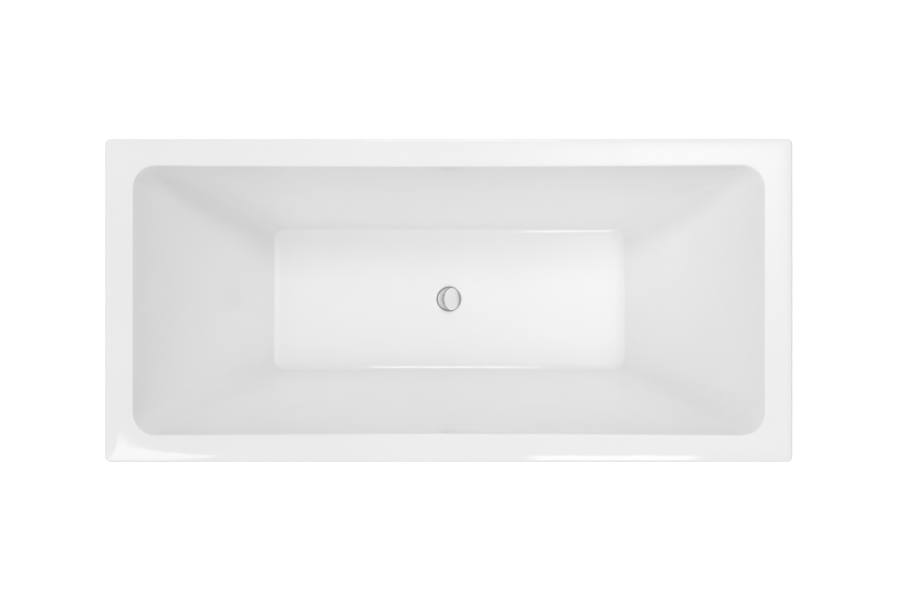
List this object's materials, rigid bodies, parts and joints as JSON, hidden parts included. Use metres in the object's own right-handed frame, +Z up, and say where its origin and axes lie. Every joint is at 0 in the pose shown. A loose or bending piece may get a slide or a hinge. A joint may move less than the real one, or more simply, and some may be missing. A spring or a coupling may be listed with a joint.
{
  "type": "freestanding bathtub",
  "caption": "Rectangular double-skin freestanding bathtub with a flat rim, tapered basin, central waste with a tilting stopper, and a steel frame on screw-adjusted feet.",
  "frame": {"origin": "centre of the tub's footprint, at the level of the room's floor under the feet", "axes": "+X along the tub's length, +Y across its width, +Z up"},
  "size_m": [1.7, 0.8, 0.58],
  "materials": {
    "acrylic_basin": "high-gloss white acrylic sheet",
    "acrylic_skirt": "gloss white acrylic sheet",
    "laminate": "sprayed glass-fibre and polyester laminate, rough",
    "board": "moisture-proof chipboard, unfinished",
    "timber": "sawn softwood",
    "frame_steel": "grey powder-coated square steel tube",
    "zinc_steel": "bright zinc-plated steel",
    "pad_plastic": "black moulded nylon",
    "waste_chrome": "polished chrome plate",
    "cap_lacquer": "white lacquered brass, half gloss",
    "nut_plastic": "black moulded polypropylene",
    "rubber": "black EPDM rubber",
    "pin_steel": "stainless steel"
  },
  "bodies": {
    "tub": {"inner_shell": "acrylic_basin", "glassfibre_backing": "laminate", "outer_skirt": "acrylic_skirt", "base_board": "board", "rim_batten_front": "timber", "rim_batten_back": "timber", "rim_batten_left": "timber", "rim_batten_right": "timber", "skirt_batten_front": "timber", "skirt_batten_back": "timber", "skirt_batten_left": "timber", "skirt_batten_right": "timber", "frame_rail_front": "frame_steel", "frame_rail_back": "frame_steel", "cross_rail_left": "frame_steel", "cross_rail_right": "frame_steel", "end_rail_left": "frame_steel", "end_rail_right": "frame_steel", "upright_1": "frame_steel", "upright_2": "frame_steel", "upright_3": "frame_steel", "upright_4": "frame_steel", "skirt_bracket_1": "zinc_steel", "skirt_bracket_2": "zinc_steel", "skirt_bracket_3": "zinc_steel", "skirt_bracket_4": "zinc_steel", "bracket_bolts": "zinc_steel", "bracket_screws": "zinc_steel", "board_screws": "zinc_steel", "weld_nuts": "zinc_steel", "foot_lock_nut_1": "zinc_steel", "foot_lock_nut_2": "zinc_steel", "foot_lock_nut_3": "zinc_steel", "foot_lock_nut_4": "zinc_steel", "waste_cup": "waste_chrome", "waste_upper_seal": "rubber", "waste_lower_washer": "rubber", "waste_backnut": "nut_plastic"},
    "stopper": {"stopper_cap": "cap_lacquer", "stopper_seal": "rubber", "stopper_pin": "pin_steel"},
    "foot_1": {"foot_pad_1": "pad_plastic"},
    "stud_1": {"foot_stud_1": "zinc_steel"},
    "foot_2": {"foot_pad_2": "pad_plastic"},
    "stud_2": {"foot_stud_2": "zinc_steel"},
    "foot_3": {"foot_pad_3": "pad_plastic"},
    "stud_3": {"foot_stud_3": "zinc_steel"},
    "foot_4": {"foot_pad_4": "pad_plastic"},
    "stud_4": {"foot_stud_4": "zinc_steel"}
  },
  "joints": [
    {"name": "stopper_tilt", "type": "hinge", "parent": "tub", "child": "stopper", "pos_m": [0.0228, 0, 0.1356], "axis": [0, 1, 0], "range_deg": [-47.3, 12.7]},
    {"name": "foot_1_height", "type": "slide", "parent": "tub", "child": "foot_1", "axis": [0, 0, 1], "range_m": [-0.015, 0.008]},
    {"name": "foot_1_screw", "type": "hinge", "parent": "foot_1", "child": "stud_1", "pos_m": [-0.6, -0.3, 0.08], "axis": [0, 0, 1], "range_deg": [-3100, 1700]},
    {"name": "foot_2_height", "type": "slide", "parent": "tub", "child": "foot_2", "axis": [0, 0, 1], "range_m": [-0.015, 0.008]},
    {"name": "foot_2_screw", "type": "hinge", "parent": "foot_2", "child": "stud_2", "pos_m": [0.6, -0.3, 0.08], "axis": [0, 0, 1], "range_deg": [-3100, 1700]},
    {"name": "foot_3_height", "type": "slide", "parent": "tub", "child": "foot_3", "axis": [0, 0, 1], "range_m": [-0.015, 0.008]},
    {"name": "foot_3_screw", "type": "hinge", "parent": "foot_3", "child": "stud_3", "pos_m": [-0.6, 0.3, 0.08], "axis": [0, 0, 1], "range_deg": [-3100, 1700]},
    {"name": "foot_4_height", "type": "slide", "parent": "tub", "child": "foot_4", "axis": [0, 0, 1], "range_m": [-0.015, 0.008]},
    {"name": "foot_4_screw", "type": "hinge", "parent": "foot_4", "child": "stud_4", "pos_m": [0.6, 0.3, 0.08], "axis": [0, 0, 1], "range_deg": [-3100, 1700]}
  ],
  "couplings": [
    {"joint": "foot_1_screw", "follows": "foot_1_height", "rad_per_m": 3590.4},
    {"joint": "foot_2_screw", "follows": "foot_2_height", "rad_per_m": 3590.4},
    {"joint": "foot_3_screw", "follows": "foot_3_height", "rad_per_m": 3590.4},
    {"joint": "foot_4_screw", "follows": "foot_4_height", "rad_per_m": 3590.4}
  ]
}
